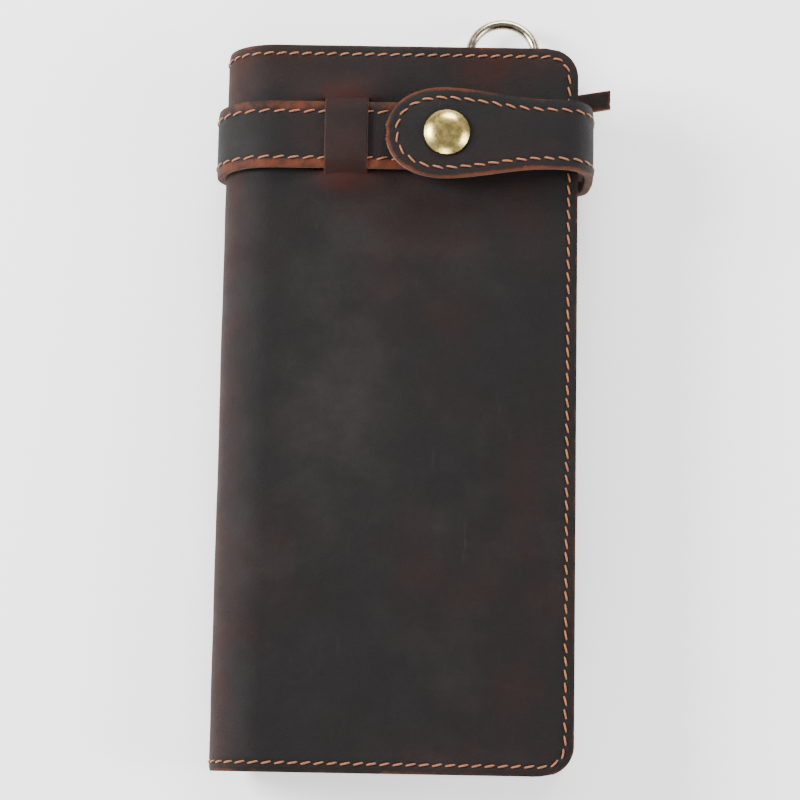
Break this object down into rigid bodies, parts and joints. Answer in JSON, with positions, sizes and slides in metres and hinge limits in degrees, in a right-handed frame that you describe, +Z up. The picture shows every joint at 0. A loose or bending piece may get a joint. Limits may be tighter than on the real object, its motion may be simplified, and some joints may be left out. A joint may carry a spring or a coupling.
{
  "type": "chain wallet",
  "caption": "Long bifold leather wallet closed by a wrap-round strap with a press stud, with a zip pocket, card slots and a ring for a chain.",
  "frame": {"origin": "on the table under the middle of the closed body, on the flat outer face of the back cover", "axes": "+X from the spine to the opening edge, +Y towards the end with the ring and strap, +Z up through the closed wallet"},
  "size_m": [0.1079, 0.2101, 0.0367],
  "materials": {
    "cover_leather": "waxed pull-up leather, dark brown-black with red-brown where it is rubbed",
    "strap_leather": "two-ply waxed leather with rust-brown raw edges",
    "inner_leather": "thin waxed leather, matt",
    "pull_leather": "raw-edged leather",
    "brass": "antique brass, satin",
    "ring_metal": "polished, light bronze nickel",
    "zip_tape": "woven tape"
  },
  "bodies": {
    "back": {"cover_back": "cover_leather", "strap_back": "strap_leather", "back_pocket_panel": "inner_leather", "coin_pocket_back": "inner_leather", "coin_pocket_gusset": "inner_leather", "coin_pocket_front": "inner_leather", "coin_pocket_strip": "inner_leather", "zip_tape_lower": "zip_tape", "zip_tape_upper": "zip_tape", "zip_teeth_lower": "brass", "zip_teeth_upper": "brass", "zip_stop_closed": "brass", "zip_stop_open": "brass", "ring_loop": "pull_leather"},
    "spine": {"cover_spine": "cover_leather", "strap_spine": "strap_leather"},
    "front": {"cover_front": "cover_leather", "strap_front": "strap_leather", "card_base_panel": "inner_leather", "card_slot_lower_1": "inner_leather", "card_slot_lower_2": "inner_leather", "card_slot_lower_3": "inner_leather", "card_slot_upper_1": "inner_leather", "card_slot_upper_2": "inner_leather", "card_slot_upper_3": "inner_leather", "snap_stud": "ring_metal"},
    "tab": {"strap_tab": "strap_leather", "snap_cap": "brass", "snap_socket": "brass"},
    "ring": {"chain_ring": "ring_metal"},
    "slider": {"zip_slider": "brass"},
    "pull": {"zip_pull": "pull_leather"}
  },
  "joints": [
    {"name": "spine_fold", "type": "hinge", "parent": "back", "child": "spine", "pos_m": [-0.04475, 0, 0.003], "axis": [0, -1, 0], "range_deg": [0, 90], "deforming": ["cover_spine", "strap_spine"]},
    {"name": "cover_open", "type": "hinge", "parent": "spine", "child": "front", "pos_m": [-0.04475, 0, 0.025], "axis": [0, -1, 0], "range_deg": [0, 90], "deforming": ["cover_spine", "strap_spine"]},
    {"name": "tab_lift", "type": "hinge", "parent": "front", "child": "tab", "pos_m": [0.0527, 0.072, 0.015], "axis": [0, 1, 0], "range_deg": [0, 150]},
    {"name": "ring_swing", "type": "hinge", "parent": "back", "child": "ring", "pos_m": [0.028, 0.0934, 0.0084], "axis": [1, 0, 0], "range_deg": [-5, 70]},
    {"name": "zip_slide", "type": "slide", "parent": "back", "child": "slider", "axis": [-1, 0, 0], "range_m": [0, 0.058]},
    {"name": "pull_swing", "type": "hinge", "parent": "slider", "child": "pull", "pos_m": [0.035, 0.0848, 0.0152], "axis": [0, 0, 1], "range_deg": [0, 45]}
  ],
  "couplings": [
    {"joint": "spine_fold", "follows": "cover_open", "ratio": 1}
  ]
}
